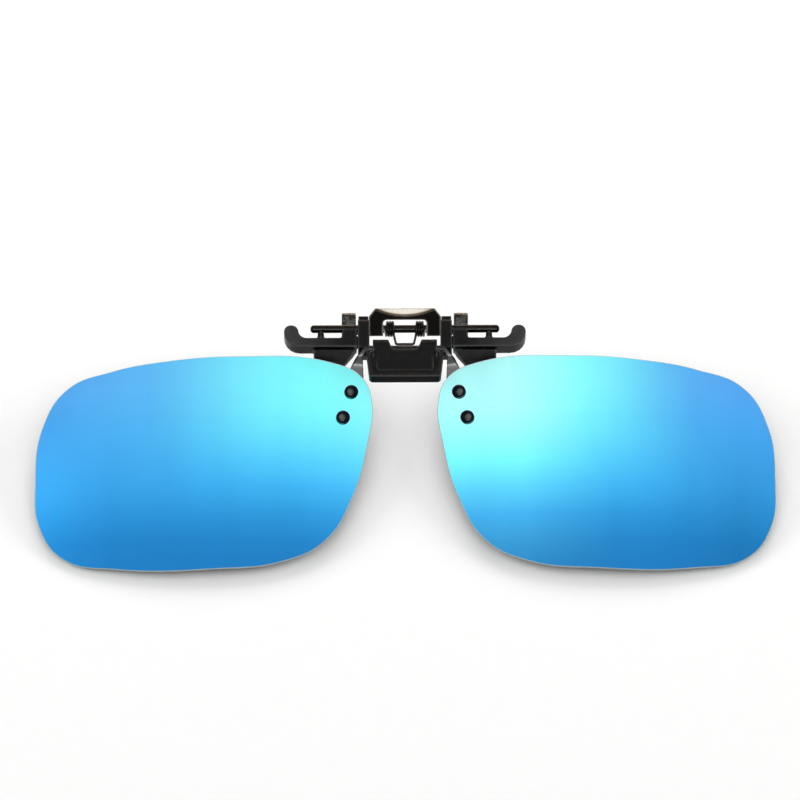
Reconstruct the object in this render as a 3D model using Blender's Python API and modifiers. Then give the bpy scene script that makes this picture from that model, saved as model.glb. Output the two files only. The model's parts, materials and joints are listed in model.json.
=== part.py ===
"""Clip-on flip-up sunglasses, lying on their back on a table.

+X runs to one side, +Y is up when the glasses are worn, and +Z is to the front. The origin is on the
table, under the middle of the part. Sizes below are in millimetres, and MM turns them into metres where
geometry is made. Outlines give y and z from the flip axis, which FLIP_Y and FLIP_Z place.
"""
import math

import bmesh
import bpy
from mathutils import Matrix, Vector

MM = 0.001
GAP = 0.3                # between pieces that rest on each other
PIN_GAP = 0.15           # around pins, wires and shanks

# Where the flip axis is, above the table and ahead of the middle of the part.
FLIP_Y = 15.586
FLIP_Z = 8.0
LEAN = math.radians(25.0)        # the clip's front outlines are square to this lean
FLIP_AXIS = Vector((0.0, FLIP_Y, FLIP_Z))

# Clamp pin, from the flip axis.
PIN_Y = 5.3
PIN_Z = 5.2 - FLIP_Z
PIN_RADIUS = 0.72
PIN_HALF = 17.1

# Lens: a spherical sheet, bolted through its inner top corner.
LENS_TILT = math.radians(11.88)
LENS_THICK = 1.1
LENS_RADIUS = 150.0
LENS_CENTRE = (36.3, 21.5)
LENS_CROWN = 4.34
LENS_SHEET = ((4.5, 68.0), (0.5, 43.0), 3.5)     # the sheet it is cut from: x and s ranges, and mesh size
LENS_OUTLINE = [
    (13.3, 2.75), (29.9, 1.9), (44.3, 3.0), (52.6, 4.55), (60.8, 7.65), (65.3, 14.7), (66.6, 24.8),
    (65.7, 33.5), (61.4, 39.1), (52.2, 41.1), (34.2, 41.2), (21.8, 39.7), (14.4, 35.9), (9.5, 27.9),
    (6.7, 17.8), (5.9, 10.0), (7.7, 5.4)]

# Lens legs and their fasteners.
LEG_THICK = 0.7
LEG_SHEET = ((5.5, 13.9), (-1.2, 16.0), 0.8)
LEG_OUTLINE = [
    (5.95, -0.4, 0.0), (7.3, -0.4, 0.8), (8.3, 1.0, 0.6), (9.85, 3.4, 1.0), (13.1, 12.0, 1.5),
    (12.9, 15.2, 1.4), (10.4, 15.2, 1.6), (8.2, 10.0, 2.0), (7.45, 5.2, 1.0), (7.6, 1.4, 0.6),
    (7.0, 0.4, 0.5), (5.95, 0.4, 0.0)]
LEG_BEND = (0.8, 3.4)            # the strap cranks back to the lens between these distances
RIVETS = {"upper": (9.7, 8.3), "lower": (11.2, 13.16)}
RIVET_HEAD = 1.25
RIVET_DOME = 0.75
SHANK_RADIUS = 0.6
TAIL_RADII = (0.85, 0.7)         # the upset tail, where it starts and where it ends
TAIL_LENGTH = 0.35
WASHER_RADIUS = 1.1
WASHER_THICK = 0.3
AXLE_RADIUS = 0.5
AXLE_HALF = 5.0
LEG_STUB_END = 6.7

# Finger scoop with the hinge barrel on its upper edge.
SCOOP_RISE = math.radians(15.0)
BARREL_RADIUS = 1.7
BARREL_HALF = 5.8
SCOOP_TIP = 7.16
SCOOP_LIP = 1.0
SCOOP_BACK = -1.0
SCOOP_OUTLINE = [(5.8, 0.2, 0.0), (5.8, -0.85, 0.0), (7.0, -1.05, 0.3), (6.4, -SCOOP_TIP, 0.7)]
TRAY_FLOOR = -0.35
TRAY_OUTLINE = [(-6.4, -1.35, 0.3), (6.4, -1.35, 0.3), (5.9, -6.66, 0.7), (-5.9, -6.66, 0.7)]
TRAY_OPEN = 3.0                  # clear above the lip
SWELL_HALF = 5.1                 # the swelling that runs down from the barrel into the tray
SWELL_PROFILE = [
    (0.0, -0.9, 0.0), (0.0, 1.69, 0.0), (-0.85, 1.47, 0.0), (-2.9, 0.95, 3.0), (-4.7, -0.1, 1.5),
    (-5.3, -0.9, 0.0)]
FOOT_X = (3.5, 5.5)
FOOT_PROFILE = [(-1.1, 0.0), (0.9, 0.0), (0.9, -3.0), (-1.1, -3.0)]
NOTCH_OUTLINE = [(-2.2, -0.17, 0.3), (2.2, -0.17, 0.3), (3.4, 2.6, 0.0), (-3.4, 2.6, 0.0)]
NOTCH_DEPTH = (-3.4, 4.0)
BUSH_RADIUS = 1.0
BUSH_INNER = 3.9
BUSH_OUTER = 5.5

# Front jaw.
JAW_BACK = 3.4 - FLIP_Z
ARM_FRONT = 6.6 - FLIP_Z
COLUMN_FRONT = 6.9 - FLIP_Z
COLUMN_X = (6.4, 8.5)
ARM_ROOT = 8.7
BRIDGE_TOP = 5.6 - FLIP_Z
BRIDGE_Y = (-0.2, 1.9)
BRIDGE_HALF = 7.0
COLUMN_PROFILE = [
    (-0.2, JAW_BACK, 0.3), (7.1, JAW_BACK, 0.3), (7.1, PIN_Z, 0.5), (6.3, COLUMN_FRONT, 0.9),
    (1.0, COLUMN_FRONT, 0.5), (-0.2, BRIDGE_TOP, 0.3)]
CAP_PROFILE = [(6.0, JAW_BACK, 0.0), (8.0, JAW_BACK, 0.3), (8.0, PIN_Z, 0.4), (6.0, PIN_Z + 0.2, 0.0)]
CAP_INSET = (0.2, 0.1)           # how far the cap stands in from the column's two sides
POCKET_X = (3.2, 5.8)
POCKET_PROFILE = [(-1.4, -2.0), (1.2, -2.0), (1.2, -3.3), (-1.4, -3.3)]
TENON_Y = (1.8, 3.6)
TENON_INSET = 0.8                # from the jaw's back and front faces
TENON_DEPTH = 0.9                # into the column
ARM_OUTLINE = [
    (ARM_ROOT, 1.22, 0.0), (21.85, 1.22, 2.9), (21.85, 5.5, 1.28), (19.25, 5.5, 1.28), (19.25, 2.95, 1.5),
    (11.3, 2.95, 0.5), (11.3, 4.6, 0.15), (ARM_ROOT, 4.6, 0.0)]
BLADE_FRONT = 5.6 - FLIP_Z
BLADE_OUTLINE = [
    (ARM_ROOT, 1.6, 0.0), (16.5, 1.6, 0.0), (16.5, -8.0, 1.5), (12.4, -8.0, 1.5), (12.4, -3.3, 0.8),
    (9.3, 0.5, 0.3)]
BLADE_PROFILE = [
    (-9.0, JAW_BACK - 1), (-9.0, 4.3 - FLIP_Z), (-0.7, 4.3 - FLIP_Z), (1.22, 5.3 - FLIP_Z),
    (2.0, 5.3 - FLIP_Z), (2.0, JAW_BACK - 1)]
BLADE_X = (8.0, 18.0)
POST_X = 15.2
POST_STEPS = ((0.8, 2.3, 3.55), (0.6, 3.3, 4.9))     # radius and reach of each step of the post under the pin
PAD_OUTLINE = [(12.8, -1.8, 0.4), (16.1, -1.8, 0.4), (16.1, -7.6, 1.1), (12.8, -7.6, 1.1)]
PAD_THICK = 0.4

# Rear jaw: the thumb plate's lower edge, its slopes, and the claws.
PLATE_FOOT = (0.6, 12.0 - FLIP_Z)
PLATE_THICK = 0.7
PLATE_SLOPE = math.radians(63.0)
FLANGE_SLOPE = math.radians(15.0)
PLATE_HALF = 6.5
EAR_X = (5.4, 6.1)
PLATE_TOP = 7.28                 # heights square to the lean, of the rim and of the arc below it
ARC_MIDDLE = 5.88
ARC_ENDS = 7.08
ARC_HALF = 5.4
TRIM_OUTLINE = [
    (-PLATE_HALF, 1.0, 0.0), (PLATE_HALF, 1.0, 0.0), (PLATE_HALF, 5.8, 0.4), (5.3, 7.3, 0.2),
    (-5.3, 7.3, 0.2), (-PLATE_HALF, 5.8, 0.4)]
WINDOW_OUTLINE = [(-3.9, 0.0, 0.0), (3.9, 0.0, 0.0), (3.9, 5.2, 0.6), (-3.9, 5.2, 0.6)]
PLATE_DEPTH = 16.0               # deep enough to cut right through the plate
EAR_PROFILE = [
    (1.95, 5.8, 0.0), (3.15, 8.25, 0.0), (6.3, 0.6, 1.5), (6.7, -3.5, 1.0), (6.9, -6.6, 0.4),
    (5.6, -6.6, 0.4), (4.9, -4.3, 0.5), (4.2, -2.8, 0.8), (4.2, 0.7, 1.5)]
EAR_BORE_HALF = 7.0
CLAW_ROUTE = [                   # heights above the table
    (6.4, 6.2, 1.9), (8.9, 6.2, 1.8), (10.1, 5.6, 1.35), (10.8, 3.8, 1.2), (12.5, 1.4, 1.2),
    (13.9, -1.6, 1.2), (14.4, -6.6, 1.2)]
SLEEVE_START = 4                 # the point of the route where the sleeve begins
SLEEVE_TIP = (0.05, -0.9)        # how far it runs on past the wire
BLOCK_X = (8.85, 11.45)
BLOCK_PROFILE = [
    (5.0, -FLIP_Z, 0.6), (10.1, -FLIP_Z, 0.6), (10.1, 2.7 - FLIP_Z, 1.0), (5.0, 2.7 - FLIP_Z, 0.6)]
BLOCK_SOFT = 0.5
CLAW_WIRE = 0.5
SLEEVE_RADIUS = 1.2

# Torsion spring.
SPRING_WIRE = 0.21
COIL_RADIUS = 1.25
COIL_X = (1.95, 3.4)
COIL_TURNS = 3
COIL_LEAVE = math.radians(219.0)
LOOP = [(1.45, 0.2, 1.55), (1.6, 0.45, 1.25)]
SPRING_LEG = [(3.5, 4.3, -1.6), (3.9, 3.9, 0.5), (4.6, 3.55, 4.6)]

PARTS = "clip_on_sunglasses"
CUTTERS = "cutters"

# Planes that outlines are drawn on, as rotations of the outline's own x, y and depth.
FLAT = Matrix.Identity(4)
PROFILE = Matrix(((0, 0, 1, 0), (1, 0, 0, 0), (0, 1, 0, 0), (0, 0, 0, 1)))
LEANING = Matrix.Rotation(LEAN, 4, "X")


# ---------------------------------------------------------------- scene and materials

def start_scene():
    for obj in list(bpy.data.objects):
        bpy.data.objects.remove(obj)
    for name in (PARTS, CUTTERS):
        bpy.context.scene.collection.children.link(bpy.data.collections.new(name))


def make_material(name, colour, roughness, metallic=0.0):
    mat = bpy.data.materials.new(name)
    mat.use_nodes = True
    shader = mat.node_tree.nodes["Principled BSDF"]
    shader.inputs["Base Color"].default_value = (*colour, 1.0)
    shader.inputs["Roughness"].default_value = roughness
    shader.inputs["Metallic"].default_value = metallic
    mat.diffuse_color = (*colour, 1.0)
    return mat


def make_materials():
    return {
        "lens": make_material("mirrored_lens", (0.10, 0.45, 0.85), 0.08, 0.8),
        "plastic": make_material("black_plastic", (0.02, 0.02, 0.022), 0.45),
        "gunmetal": make_material("polished_gunmetal", (0.06, 0.055, 0.05), 0.18, 1.0),
        "leg": make_material("satin_grey_metal", (0.18, 0.18, 0.18), 0.35, 1.0),
        "rivet": make_material("black_rivet", (0.015, 0.015, 0.02), 0.25, 0.6),
        "steel": make_material("spring_steel", (0.10, 0.09, 0.08), 0.3, 1.0),
        "rubber": make_material("black_rubber", (0.02, 0.02, 0.02), 0.7),
        "nylon": make_material("clear_nylon", (0.5, 0.5, 0.48), 0.4),
    }


# ---------------------------------------------------------------- building blocks

def add_object(name, mesh, mat, matrix, cutter=False):
    """Put a mesh drawn in millimetres into the scene, at a matrix in millimetres."""
    mesh.transform(Matrix.Diagonal((MM, MM, MM, 1.0)))
    obj = bpy.data.objects.new(name, mesh)
    place = matrix.copy()
    place.translation = matrix.translation * MM
    obj.matrix_world = place
    bpy.data.collections[CUTTERS if cutter else PARTS].objects.link(obj)
    if cutter:
        obj.hide_render = True
        obj.display_type = "WIRE"
    else:
        mesh.materials.append(mat)
    return obj


def from_flip_axis(plane=FLAT):
    return Matrix.Translation(FLIP_AXIS) @ plane


def mesh_of_curve(curve):
    """The closed mesh of a curve, with its loose caps welded on."""
    helper = bpy.data.objects.new("helper", curve)
    bpy.context.scene.collection.objects.link(helper)
    bpy.context.view_layer.update()
    mesh = bpy.data.meshes.new_from_object(helper.evaluated_get(bpy.context.evaluated_depsgraph_get()))
    bpy.data.objects.remove(helper)
    mesh.materials.clear()
    shape = bmesh.new()
    shape.from_mesh(mesh)
    bmesh.ops.remove_doubles(shape, verts=shape.verts, dist=1e-4)
    bmesh.ops.recalc_face_normals(shape, faces=shape.faces)
    shape.to_mesh(mesh)
    shape.free()
    return mesh


def rounded(corners, steps=5):
    """A closed outline through corners (x, y, radius), with an arc of that radius at each."""
    points = []
    for i, (x, y, radius) in enumerate(corners):
        corner = Vector((x, y))
        before = (Vector(corners[i - 1][:2]) - corner).normalized()
        after = (Vector(corners[(i + 1) % len(corners)][:2]) - corner).normalized()
        if radius == 0.0:
            points.append(corner)
            continue
        half = before.angle(after) / 2
        middle = corner + (before + after).normalized() * (radius / math.sin(half))
        first = corner + before * (radius / math.tan(half)) - middle
        last = corner + after * (radius / math.tan(half)) - middle
        sweep = first.angle_signed(last)
        for k in range(steps + 1):
            points.append(middle + Matrix.Rotation(-sweep * k / steps, 2) @ first)
    return points


def slab(name, outline, low, high, mat=None, matrix=None, cutter=False, smooth_spline=False):
    """A flat outline, extruded from low to high along its plane's own depth."""
    curve = bpy.data.curves.new(name, "CURVE")
    curve.dimensions = "2D"
    curve.fill_mode = "BOTH"
    curve.extrude = (high - low) / 2
    if smooth_spline:
        spline = curve.splines.new("BEZIER")
        spline.bezier_points.add(len(outline) - 1)
        for point, (x, y) in zip(spline.bezier_points, outline):
            point.co = (x, y, 0.0)
            point.handle_left_type = point.handle_right_type = "AUTO"
        spline.resolution_u = 6
    else:
        spline = curve.splines.new("POLY")
        spline.points.add(len(outline) - 1)
        for point, (x, y) in zip(spline.points, outline):
            point.co = (x, y, 0.0, 1.0)
    spline.use_cyclic_u = True
    mesh = mesh_of_curve(curve)
    mesh.transform(Matrix.Translation((0.0, 0.0, (low + high) / 2)))
    return add_object(name, mesh, mat, matrix or from_flip_axis(), cutter)


def rod(name, radius, x_from, x_to, y, z, mat=None, cutter=False, sides=24):
    """A cylinder along X, its axis at y and z from the flip axis."""
    shape = bmesh.new()
    bmesh.ops.create_cone(shape, cap_ends=True, segments=sides, radius1=radius, radius2=radius,
                          depth=x_to - x_from)
    mesh = bpy.data.meshes.new(name)
    shape.to_mesh(mesh)
    shape.free()
    mesh.transform(Matrix.Translation(((x_from + x_to) / 2, 0.0, 0.0)) @ Matrix.Rotation(math.pi / 2, 4, "Y"))
    return add_object(name, mesh, mat, from_flip_axis() @ Matrix.Translation((0.0, y, z)), cutter)


def wire(name, points, radius, mat=None, cutter=False, smooth_spline=False):
    """A round wire through points given from the flip axis."""
    curve = bpy.data.curves.new(name, "CURVE")
    curve.dimensions = "3D"
    curve.bevel_depth = radius
    curve.bevel_resolution = 2
    curve.use_fill_caps = True
    if smooth_spline:
        spline = curve.splines.new("BEZIER")
        spline.bezier_points.add(len(points) - 1)
        for bezier, point in zip(spline.bezier_points, points):
            bezier.co = point
            bezier.handle_left_type = bezier.handle_right_type = "AUTO"
        spline.resolution_u = 4
    else:
        spline = curve.splines.new("POLY")
        spline.points.add(len(points) - 1)
        for poly, point in zip(spline.points, points):
            poly.co = (*point, 1.0)
    return add_object(name, mesh_of_curve(curve), mat, from_flip_axis(), cutter)


def turned(name, profile, mat, matrix, sides=16):
    """A profile of (radius, height) points, run down its outer side and turned about its own Z."""
    shape = bmesh.new()
    ring = [shape.verts.new((radius, 0.0, height)) for radius, height in profile]
    for first, second in zip(ring, ring[1:]):
        shape.edges.new((first, second))
    if profile[0][0] > 0.0:
        shape.edges.new((ring[-1], ring[0]))
    mesh = bpy.data.meshes.new(name)
    shape.to_mesh(mesh)
    shape.free()
    obj = add_object(name, mesh, mat, matrix)
    screw = obj.modifiers.new("turn", "SCREW")
    screw.steps = screw.render_steps = sides
    screw.use_merge_vertices = True
    screw.merge_threshold = 1e-6
    return obj


def combine(obj, other, operation="DIFFERENCE"):
    modifier = obj.modifiers.new(operation.lower(), "BOOLEAN")
    modifier.operation = operation
    modifier.object = other
    modifier.solver = "EXACT"


def soften(obj, width, segments=2, angle=40.0):
    modifier = obj.modifiers.new("soften", "BEVEL")
    modifier.width = width * MM
    modifier.segments = segments
    modifier.limit_method = "ANGLE"
    modifier.angle_limit = math.radians(angle)
    modifier.harden_normals = False


def axis_empty(name, location, rotation_x=0.0, parent=None):
    """An empty on a joint's axis, in millimetres."""
    empty = bpy.data.objects.new(name, None)
    empty.empty_display_size = 4 * MM
    bpy.data.collections[PARTS].objects.link(empty)
    if parent:
        empty.parent = parent
        empty.matrix_parent_inverse = parent.matrix_world.inverted()
    empty.matrix_world = Matrix.Translation(Vector(location) * MM) @ Matrix.Rotation(rotation_x, 4, "X")
    bpy.context.view_layer.update()
    return empty


def hang(parent, *objects):
    for obj in objects:
        place = obj.matrix_world.copy()
        obj.parent = parent
        obj.matrix_parent_inverse = parent.matrix_world.inverted()
        obj.matrix_world = place


def mirrored(outline, side):
    return [(x * side, *rest) for x, *rest in outline]


# ---------------------------------------------------------------- lenses, legs and rivets

def lens_front(x, s):
    """Height of a lens's front face over the plane through the flip axis, s below that axis."""
    across = x - LENS_CENTRE[0]
    down = s - LENS_CENTRE[1]
    return LENS_CROWN - (across ** 2 + down ** 2) / (2 * LENS_RADIUS)


def leg_front(x, s):
    """The strap leaves the hinge flat, then lies along the back of the lens."""
    t = min(max((s - LEG_BEND[0]) / (LEG_BEND[1] - LEG_BEND[0]), 0.0), 1.0)
    blend = t * t * (3 - 2 * t)
    return LEG_THICK / 2 + blend * (lens_front(x, s) - LENS_THICK - GAP - LEG_THICK / 2)


def lens_plane():
    return from_flip_axis(Matrix.Rotation(LENS_TILT, 4, "X"))


def curved_sheet(name, side, spread, front, thickness, mat):
    """A sheet over a rectangle in the lens plane, its front face at the height that front gives."""
    x_range, s_range, cell = spread
    columns = round((x_range[1] - x_range[0]) / cell)
    rows = round((s_range[1] - s_range[0]) / cell)
    shape = bmesh.new()
    bmesh.ops.create_grid(shape, x_segments=columns, y_segments=rows, size=0.5)
    for vert in shape.verts:
        x = x_range[0] + (vert.co.x + 0.5) * (x_range[1] - x_range[0])
        s = s_range[0] + (0.5 - vert.co.y) * (s_range[1] - s_range[0])
        vert.co = (x * side, -s, front(x, s))
    if side < 0:
        bmesh.ops.reverse_faces(shape, faces=shape.faces)
    mesh = bpy.data.meshes.new(name)
    shape.to_mesh(mesh)
    shape.free()
    obj = add_object(name, mesh, mat, lens_plane())
    solid = obj.modifiers.new("thickness", "SOLIDIFY")
    solid.thickness = thickness * MM
    solid.offset = -1.0
    return obj


def rivet_place(side, x, s):
    """A frame on the lens's front face, its Z along the lens's own normal."""
    slope_x = (LENS_CENTRE[0] - x) / LENS_RADIUS
    slope_y = -(LENS_CENTRE[1] - s) / LENS_RADIUS
    normal = Vector((-slope_x * side, -slope_y, 1.0)).normalized()
    spot = Matrix.Translation((x * side, -s, lens_front(x, s)))
    return lens_plane() @ spot @ normal.to_track_quat("Z", "Y").to_matrix().to_4x4()


def hole_through(name, radius, matrix):
    shape = bmesh.new()
    bmesh.ops.create_cone(shape, cap_ends=True, segments=16, radius1=radius, radius2=radius, depth=8.0)
    mesh = bpy.data.meshes.new(name)
    shape.to_mesh(mesh)
    shape.free()
    return add_object(name, mesh, None, matrix, cutter=True)


def make_lens(side, word, mats):
    lens = curved_sheet(f"lens_{word}", side, LENS_SHEET, lens_front, LENS_THICK, mats["lens"])
    outline = [(x * side, -s) for x, s in LENS_OUTLINE]
    edge = slab(f"lens_edge_{word}", outline, -12.0, 12.0, matrix=lens_plane(), cutter=True, smooth_spline=True)
    combine(lens, edge, "INTERSECT")
    return lens


def make_leg(side, word, mats):
    leg = curved_sheet(f"lens_leg_{word}", side, LEG_SHEET, leg_front, LEG_THICK, mats["leg"])
    outline = [(x * side, -s) for x, s in rounded(LEG_OUTLINE)]
    edge = slab(f"leg_edge_{word}", outline, -8.0, 8.0, matrix=lens_plane(), cutter=True)
    combine(leg, edge, "INTERSECT")
    ends = sorted((side * (AXLE_HALF + GAP), side * LEG_STUB_END))
    stub = rod(f"leg_stub_{word}", AXLE_RADIUS, *ends, 0.0, 0.0, cutter=True)
    combine(leg, stub, "UNION")
    return leg


def make_fasteners(side, word, lens, leg, mats):
    """Domed rivets through the lens and the leg, each closed over a washer behind the leg."""
    leg_back = -(LENS_THICK + GAP + LEG_THICK)
    washer_top = leg_back - PIN_GAP
    tail_top = washer_top - WASHER_THICK - PIN_GAP
    pieces = []
    for place, (x, s) in RIVETS.items():
        matrix = rivet_place(side, x, s)
        hole = hole_through(f"rivet_hole_{place}_{word}", SHANK_RADIUS + PIN_GAP, matrix)
        combine(lens, hole)
        combine(leg, hole)
        dome = [(RIVET_HEAD * math.sin(a), PIN_GAP + RIVET_DOME * math.cos(a))
                for a in (k * math.pi / 12 for k in range(7))]
        dome[0] = (0.0, PIN_GAP + RIVET_DOME)
        tail = [(SHANK_RADIUS, PIN_GAP), (SHANK_RADIUS, tail_top), (TAIL_RADII[0], tail_top),
                (TAIL_RADII[1], tail_top - TAIL_LENGTH), (0.0, tail_top - TAIL_LENGTH)]
        pieces.append(turned(f"rivet_{place}_{word}", dome + tail, mats["rivet"], matrix))
        ring = [(SHANK_RADIUS + PIN_GAP, washer_top), (WASHER_RADIUS, washer_top),
                (WASHER_RADIUS, washer_top - WASHER_THICK), (SHANK_RADIUS + PIN_GAP, washer_top - WASHER_THICK)]
        pieces.append(turned(f"washer_{place}_{word}", ring, mats["nylon"], matrix))
    return pieces


def make_axle(mats):
    axle = rod("flip_axle", AXLE_RADIUS, -AXLE_HALF, AXLE_HALF, 0.0, 0.0, mats["steel"])
    soften(axle, 0.1, 1)
    return axle


# ---------------------------------------------------------------- front jaw and scoop

def make_scoop(mats):
    """Barrel swelling down into a rimmed tray, and two feet, with the notch that the spring's loop drops into."""
    tilt = from_flip_axis(Matrix.Rotation(-SCOOP_RISE, 4, "X"))
    outline = rounded(mirrored(SCOOP_OUTLINE, -1) + SCOOP_OUTLINE[::-1])
    scoop = slab("finger_scoop", outline, SCOOP_BACK, SCOOP_LIP, mats["plastic"], tilt)
    soften(scoop, 0.18)
    tray = slab("scoop_tray", rounded(TRAY_OUTLINE), TRAY_FLOOR, TRAY_OPEN, matrix=tilt, cutter=True)
    combine(scoop, tray)
    swell = slab("scoop_swell", rounded(SWELL_PROFILE), -SWELL_HALF, SWELL_HALF, matrix=tilt @ PROFILE, cutter=True)
    soften(swell, 0.3)
    combine(scoop, swell, "UNION")
    barrel = rod("scoop_barrel", BARREL_RADIUS, -BARREL_HALF, BARREL_HALF, 0.0, 0.0, cutter=True, sides=36)
    combine(scoop, barrel, "UNION")
    for side in (-1, 1):
        ends = sorted(x * side for x in FOOT_X)
        foot = slab("scoop_foot", FOOT_PROFILE, *ends, matrix=from_flip_axis(PROFILE), cutter=True)
        combine(scoop, foot, "UNION")
        ends = sorted((side * (BUSH_INNER - GAP), side * (BARREL_HALF + 1)))
        combine(scoop, rod("bush_seat", BUSH_RADIUS + PIN_GAP, *ends, 0.0, 0.0, cutter=True))
    combine(scoop, rod("scoop_bore", AXLE_RADIUS + GAP, -BUSH_INNER, BUSH_INNER, 0.0, 0.0, cutter=True))
    notch = rounded(NOTCH_OUTLINE)
    combine(scoop, slab("spring_notch", notch, *NOTCH_DEPTH, matrix=from_flip_axis(LEANING), cutter=True))
    return scoop


def make_bush(side, word, mats):
    ends = sorted((side * BUSH_INNER, side * BUSH_OUTER))
    bush = rod(f"friction_bush_{word}", BUSH_RADIUS, *ends, 0.0, 0.0, mats["nylon"])
    ends = sorted((side * (BUSH_INNER - 1), side * (BUSH_OUTER + 1)))
    combine(bush, rod("bush_bore", AXLE_RADIUS + PIN_GAP, *ends, 0.0, 0.0, cutter=True))
    return bush


def pin_bore(name, x_from, x_to):
    return rod(name, PIN_RADIUS + PIN_GAP, x_from, x_to, PIN_Y, PIN_Z, cutter=True)


def make_bridge(mats):
    """The bar behind the barrel, and the two columns that swing on the clamp pin."""
    low, high = BRIDGE_Y
    bar = [(low, JAW_BACK), (high, JAW_BACK), (high, BRIDGE_TOP), (low, BRIDGE_TOP)]
    bridge = slab("front_jaw_bridge", bar, -BRIDGE_HALF, BRIDGE_HALF, mats["plastic"], from_flip_axis(PROFILE))
    soften(bridge, 0.2)
    for side in (-1, 1):
        ends = sorted(x * side for x in COLUMN_X)
        post = slab("jaw_column", rounded(COLUMN_PROFILE), *ends, matrix=from_flip_axis(PROFILE), cutter=True)
        soften(post, 0.2)
        combine(bridge, post, "UNION")
        ends = sorted((side * (COLUMN_X[0] + CAP_INSET[0]), side * (COLUMN_X[1] - CAP_INSET[1])))
        cap = slab("column_cap", rounded(CAP_PROFILE), *ends, matrix=from_flip_axis(PROFILE), cutter=True)
        soften(cap, 0.2)
        combine(bridge, cap, "UNION")
        ends = sorted(x * side for x in POCKET_X)
        combine(bridge, slab("foot_pocket", POCKET_PROFILE, *ends, matrix=from_flip_axis(PROFILE), cutter=True))
        combine(bridge, tenon("arm_socket", side, GAP))
    combine(bridge, pin_bore("column_bore", -ARM_ROOT, ARM_ROOT))
    return bridge


def tenon(name, side, clearance):
    """The tongue at an arm's root, or with a clearance the socket for it in the column."""
    low_y, high_y = TENON_Y[0] - clearance, TENON_Y[1] + clearance
    low_z, high_z = JAW_BACK + TENON_INSET - clearance, ARM_FRONT - TENON_INSET + clearance
    outline = [(low_y, low_z), (high_y, low_z), (high_y, high_z), (low_y, high_z)]
    ends = sorted((side * (COLUMN_X[1] - TENON_DEPTH - clearance), side * (ARM_ROOT + TENON_DEPTH)))
    return slab(name, outline, *ends, matrix=from_flip_axis(PROFILE), cutter=True)


def make_arm(side, word, mats):
    """J-shaped arm with its pin saddle, the post near the pin's end, and the claw below it."""
    arm = slab(f"jaw_arm_{word}", rounded(mirrored(ARM_OUTLINE, side)), JAW_BACK, ARM_FRONT, mats["plastic"])
    soften(arm, 0.2)
    blade = slab("claw_blade", rounded(mirrored(BLADE_OUTLINE, side)), JAW_BACK, BLADE_FRONT, cutter=True)
    ends = sorted(x * side for x in BLADE_X)
    wedge = slab("claw_wedge", BLADE_PROFILE, *ends, matrix=from_flip_axis(PROFILE), cutter=True)
    combine(blade, wedge, "INTERSECT")
    combine(arm, blade, "UNION")
    combine(arm, tenon("arm_tenon", side, 0.0), "UNION")
    upright = Matrix.Rotation(-math.pi / 2, 4, "X")
    for radius, low, high in POST_STEPS:
        shape = bmesh.new()
        bmesh.ops.create_cone(shape, cap_ends=True, segments=20, radius1=radius, radius2=radius, depth=high - low)
        mesh = bpy.data.meshes.new("arm_post")
        shape.to_mesh(mesh)
        shape.free()
        spot = Matrix.Translation((POST_X * side, (low + high) / 2, PIN_Z))
        post = add_object("arm_post", mesh, None, from_flip_axis() @ spot @ upright, cutter=True)
        combine(arm, post, "UNION")
    combine(arm, pin_bore("saddle_groove", *ends))
    return arm


def make_pad(side, word, mats):
    top = JAW_BACK - GAP
    return slab(f"claw_pad_{word}", rounded(mirrored(PAD_OUTLINE, side)), top - PAD_THICK, top, mats["rubber"])


# ---------------------------------------------------------------- rear jaw

def make_thumb_plate(mats):
    """Bent sheet: a leaning face, a flange that flares along an arc, and an ear on each side."""
    rise = (math.cos(PLATE_SLOPE), math.sin(PLATE_SLOPE))
    flare = (math.cos(FLANGE_SLOPE), math.sin(FLANGE_SLOPE))
    up = (math.cos(LEAN), math.sin(LEAN))

    def bend_point(x, row):
        """Rows 0 to 1 climb the face to the arc, rows 1 to 2 cross the flange to the straight rim."""
        arc = ARC_MIDDLE + (ARC_ENDS - ARC_MIDDLE) * min(abs(x) / ARC_HALF, 1.0) ** 2
        foot = PLATE_FOOT[0] * up[0] + PLATE_FOOT[1] * up[1]
        face = (arc - foot) / (rise[0] * up[0] + rise[1] * up[1])
        flange = (PLATE_TOP - arc) / (flare[0] * up[0] + flare[1] * up[1])
        along, over = face * min(row, 1.0), flange * max(row - 1.0, 0.0)
        return (PLATE_FOOT[0] + rise[0] * along + flare[0] * over,
                PLATE_FOOT[1] + rise[1] * along + flare[1] * over)

    columns, rows = 28, 8
    shape = bmesh.new()
    bmesh.ops.create_grid(shape, x_segments=columns, y_segments=rows, size=0.5)
    for vert in shape.verts:
        x = vert.co.x * 2 * (PLATE_HALF + 0.5)
        vert.co = (x, *bend_point(x, (vert.co.y + 0.5) * 2))
    mesh = bpy.data.meshes.new("thumb_plate")
    shape.to_mesh(mesh)
    shape.free()
    plate = add_object("thumb_plate", mesh, mats["gunmetal"], from_flip_axis())
    solid = plate.modifiers.new("thickness", "SOLIDIFY")
    solid.thickness = PLATE_THICK * MM
    solid.offset = -1.0
    solid.use_even_offset = True

    front = from_flip_axis(LEANING)
    trim = slab("plate_trim", rounded(TRIM_OUTLINE), 0.0, PLATE_DEPTH, matrix=front, cutter=True)
    combine(plate, trim, "INTERSECT")
    combine(plate, slab("plate_window", rounded(WINDOW_OUTLINE), 0.0, PLATE_DEPTH, matrix=front, cutter=True))
    for side in (-1, 1):
        ends = sorted(x * side for x in EAR_X)
        ear = slab("plate_ear", rounded(EAR_PROFILE), *ends, matrix=from_flip_axis(PROFILE), cutter=True)
        combine(plate, ear, "UNION")
    combine(plate, pin_bore("ear_bore", -EAR_BORE_HALF, EAR_BORE_HALF))
    return plate


def claw_route(side, start=0):
    """The rear claw's wire, from the ear, round through its block and down behind the front claw."""
    return [(x * side, y, z - FLIP_Z) for x, y, z in CLAW_ROUTE[start:]]


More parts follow.
